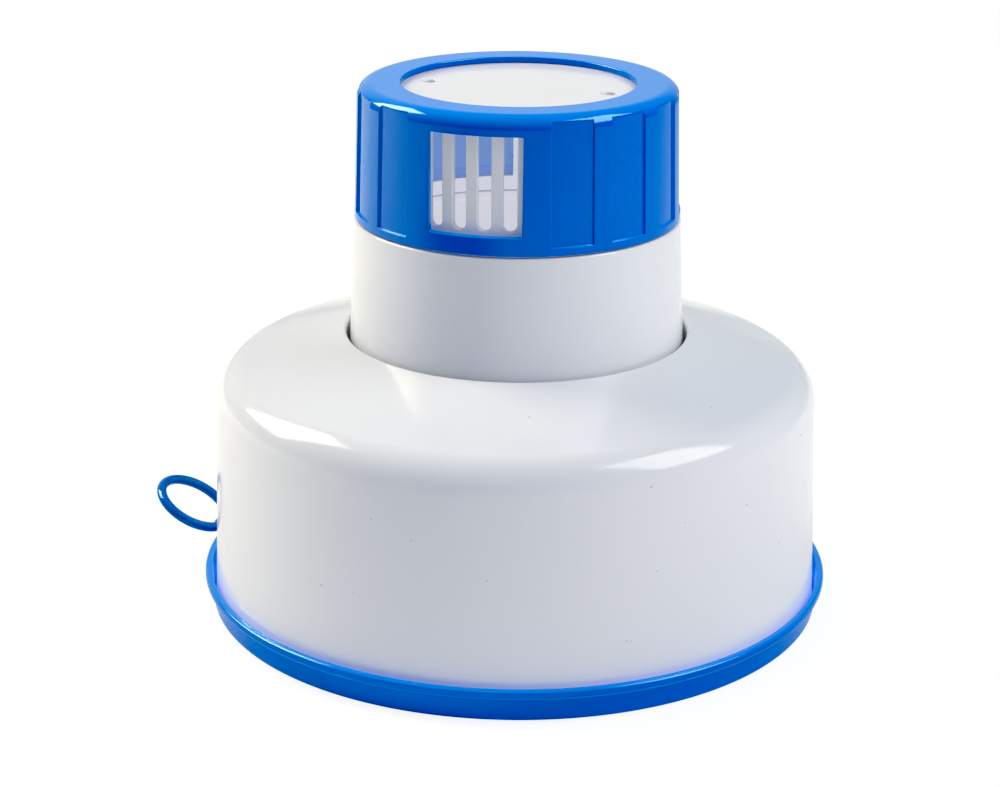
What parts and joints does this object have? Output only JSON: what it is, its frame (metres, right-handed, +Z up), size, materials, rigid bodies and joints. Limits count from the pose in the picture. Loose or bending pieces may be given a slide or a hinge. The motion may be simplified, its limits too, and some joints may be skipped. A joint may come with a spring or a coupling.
{
  "type": "floating chlorine dispenser",
  "caption": "Drum-shaped floating pool dispenser with a tablet chamber, a slotted screw cap with a turning flow collar, and a tether ring.",
  "frame": {"origin": "centre of the base cover's flat underside", "axes": "+Z up through the tablet chamber to the flow cap, as the dispenser stands on a table; -Y is the front, where a collar window shows the slots; the tether lug is on the -X side. In the water it floats the other way up, cap down"},
  "size_m": [0.1999, 0.182, 0.1525],
  "materials": {
    "blue_plastic": "glossy moulded polypropylene, strong blue",
    "white_plastic": "glossy moulded polypropylene, cool white",
    "float_foam": "closed-cell foam, fine beads",
    "gasket_rubber": "soft black rubber",
    "stainless_screws": "stainless steel",
    "clear_silicone": "translucent silicone",
    "chlorine_tablet": "pressed chalky tablet"
  },
  "bodies": {
    "float_body": {"base_cover": "blue_plastic", "float_shell": "white_plastic", "float_foam_ring": "float_foam", "canister": "white_plastic", "canister_gasket": "gasket_rubber", "canister_screws": "stainless_screws"},
    "cap_seal": {"cap_seal": "clear_silicone"},
    "cap": {"grille_insert": "white_plastic"},
    "collar": {"flow_collar": "blue_plastic"},
    "tether": {"tether_ring": "blue_plastic"},
    "tablets": {"tablet_lower": "chlorine_tablet", "tablet_middle": "chlorine_tablet", "tablet_upper": "chlorine_tablet"}
  },
  "joints": [
    {"name": "cap_lift", "type": "slide", "parent": "float_body", "child": "cap_seal", "axis": [0, 0, 1], "range_m": [0, 0.0241]},
    {"name": "cap_turn", "type": "hinge", "parent": "cap_seal", "child": "cap", "pos_m": [0, 0, 0.11], "axis": [0, 0, 1], "range_deg": [0, 360]},
    {"name": "flow_setting", "type": "hinge", "parent": "cap", "child": "collar", "pos_m": [0, 0, 0.13], "axis": [0, 0, 1], "range_deg": [0, 90]},
    {"name": "tether_swing", "type": "hinge", "parent": "float_body", "child": "tether", "pos_m": [-0.08929, 0.02493, 0.0088], "axis": [0.2689, 0.9632, 0], "range_deg": [-48, 52]},
    {"name": "tablet_drop", "type": "slide", "parent": "float_body", "child": "tablets", "axis": [0, 0, 1], "range_m": [0, 0.068]}
  ],
  "couplings": [
    {"joint": "cap_lift", "follows": "cap_turn", "m_per_rad": 0.0038197}
  ]
}
